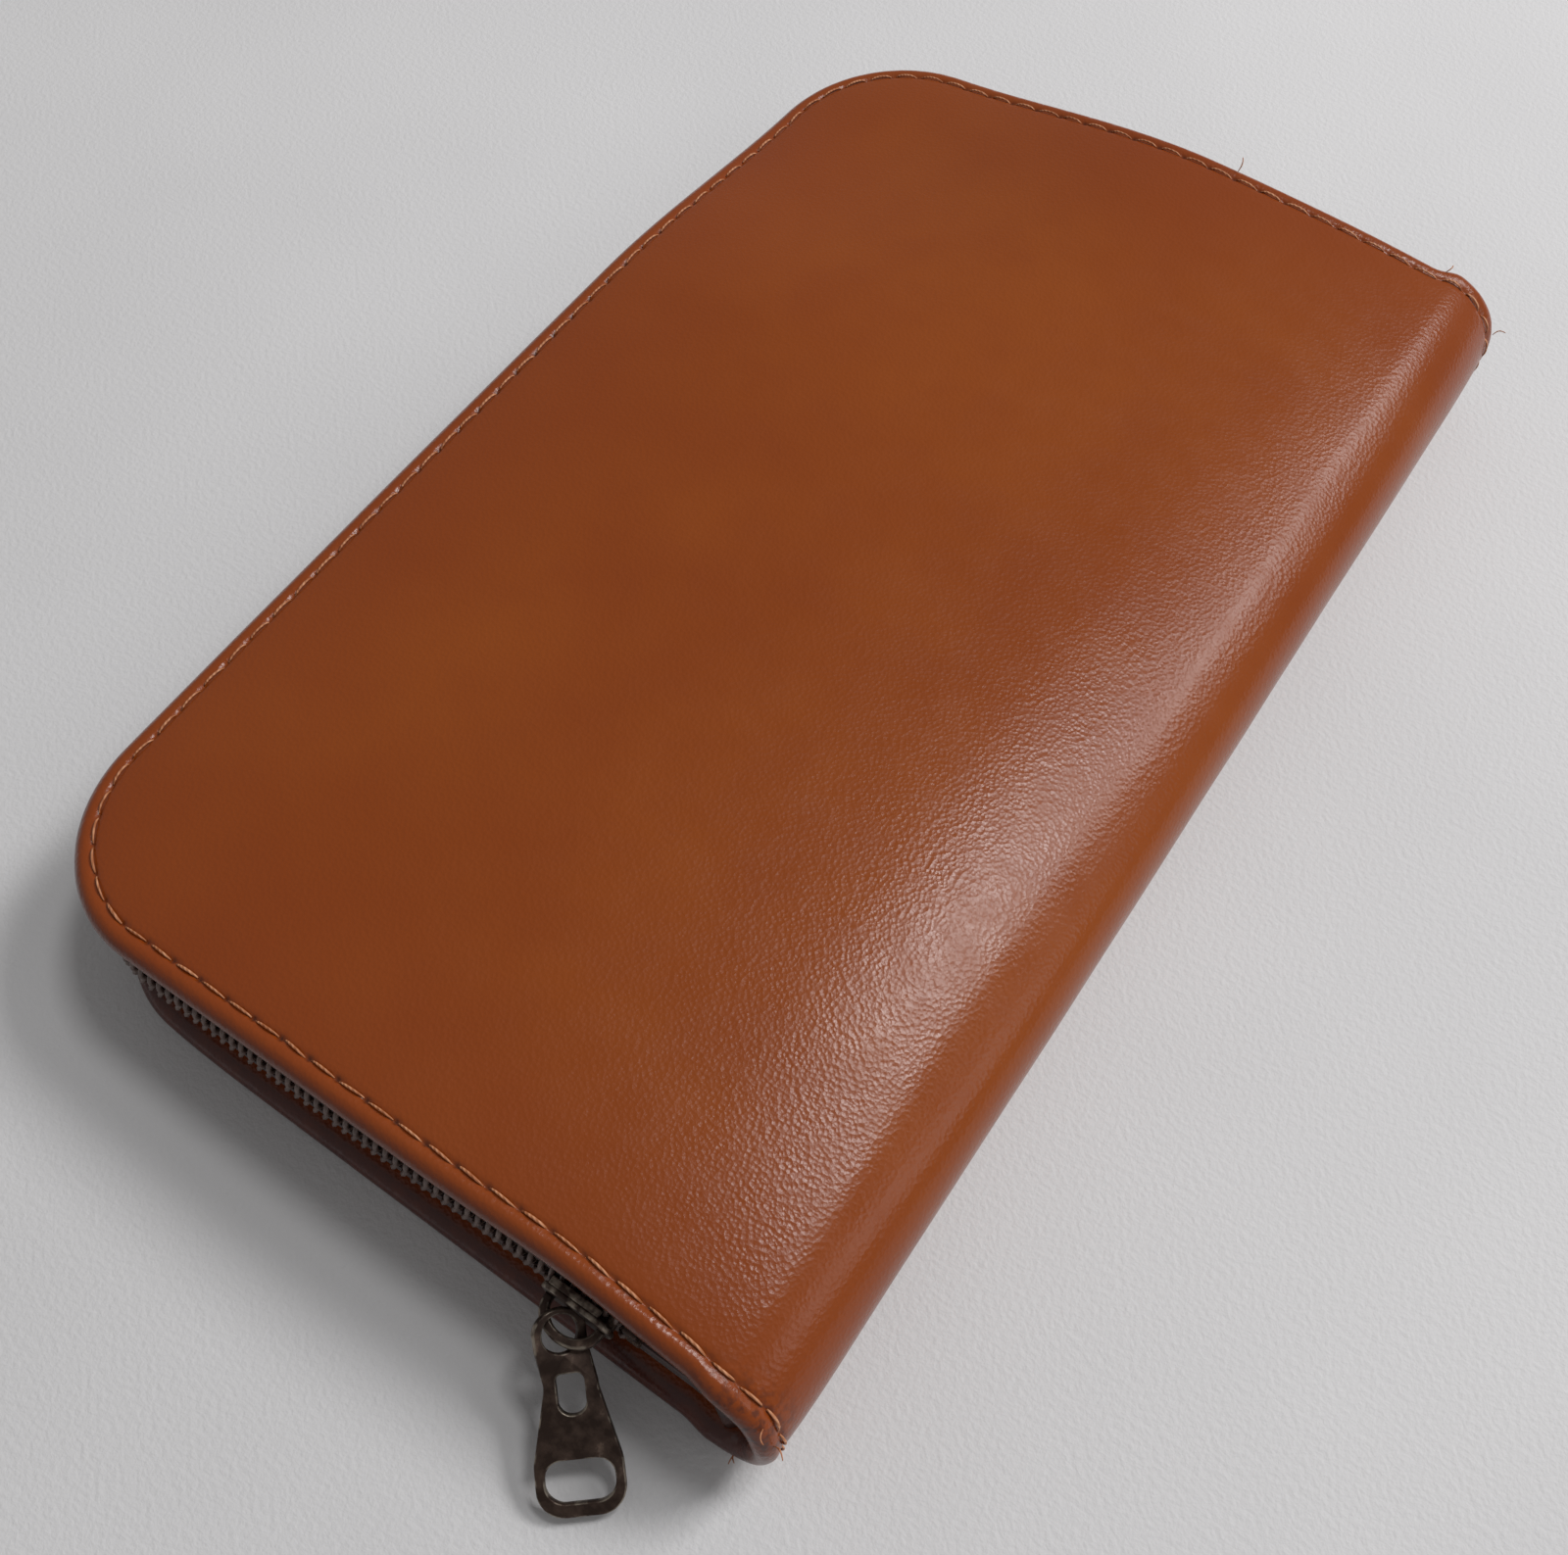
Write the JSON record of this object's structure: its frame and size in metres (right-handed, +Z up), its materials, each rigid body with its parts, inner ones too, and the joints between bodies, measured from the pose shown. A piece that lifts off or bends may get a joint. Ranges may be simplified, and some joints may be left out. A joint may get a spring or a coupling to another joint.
{
  "type": "zip-around passport holder",
  "caption": "Flat zip-around leather passport holder with a rolled spine, hinged covers, inner sleeves and card slots, and a zip slider with a pull tab.",
  "frame": {"origin": "middle of the back cover's flat underside, on the surface it rests on", "axes": "+X from the free long edge to the spine, +Y along the spine away from the parked slider, +Z up"},
  "size_m": [0.1101, 0.1985, 0.0221],
  "materials": {
    "tan_leather": "smooth glossy, fine grain",
    "pocket_leather": "satin",
    "stiff_board": "matte",
    "foam": "matte",
    "lining_cloth": "matte woven",
    "thread": "waxed thread",
    "zip_cloth": "matte woven",
    "zip_nylon": "satin",
    "antique_metal": "dark antique, worn edges"
  },
  "bodies": {
    "back": {"back_leather": "tan_leather", "back_board": "stiff_board", "back_padding": "foam", "back_lining": "lining_cloth", "back_edge_stitching": "thread", "back_zip_tape": "zip_cloth", "back_zip_coil": "zip_nylon", "back_zip_stops": "antique_metal", "ticket_pocket": "pocket_leather", "passport_sleeve": "pocket_leather", "back_pocket_stitching": "thread"},
    "spine": {"spine_leather": "tan_leather", "spine_stiffener": "stiff_board", "spine_lining": "lining_cloth", "spine_gussets": "pocket_leather", "spine_stitching": "thread"},
    "front": {"front_leather": "tan_leather", "front_board": "stiff_board", "front_padding": "foam", "front_lining": "lining_cloth", "front_edge_stitching": "thread", "front_zip_tape": "zip_cloth", "front_zip_coil": "zip_nylon", "front_zip_stops": "antique_metal", "slip_pocket": "pocket_leather", "card_slot_1": "pocket_leather", "card_slot_2": "pocket_leather", "card_slot_3": "pocket_leather", "card_slot_4": "pocket_leather", "card_slot_stitching": "thread"},
    "slider": {"slider_body": "antique_metal"},
    "pull": {"pull_tab": "antique_metal"}
  },
  "joints": [
    {"name": "spine_fold", "type": "hinge", "parent": "back", "child": "spine", "pos_m": [0.05207, 0, 0.00293], "axis": [0, 1, 0], "range_deg": [0, 88.5]},
    {"name": "front_fold", "type": "hinge", "parent": "spine", "child": "front", "pos_m": [0.05207, 0, 0.01707], "axis": [0, 1, 0], "range_deg": [0, 88.5]},
    {"name": "zip_slide", "type": "slide", "parent": "back", "child": "slider", "axis": [-1, 0, 0], "range_m": [0, 0.057]},
    {"name": "pull_swing", "type": "hinge", "parent": "slider", "child": "pull", "pos_m": [0.029, -0.0929, 0.01], "axis": [-1, 0, 0], "range_deg": [-25, 100]}
  ],
  "couplings": [
    {"joint": "front_fold", "follows": "spine_fold", "ratio": 1}
  ]
}
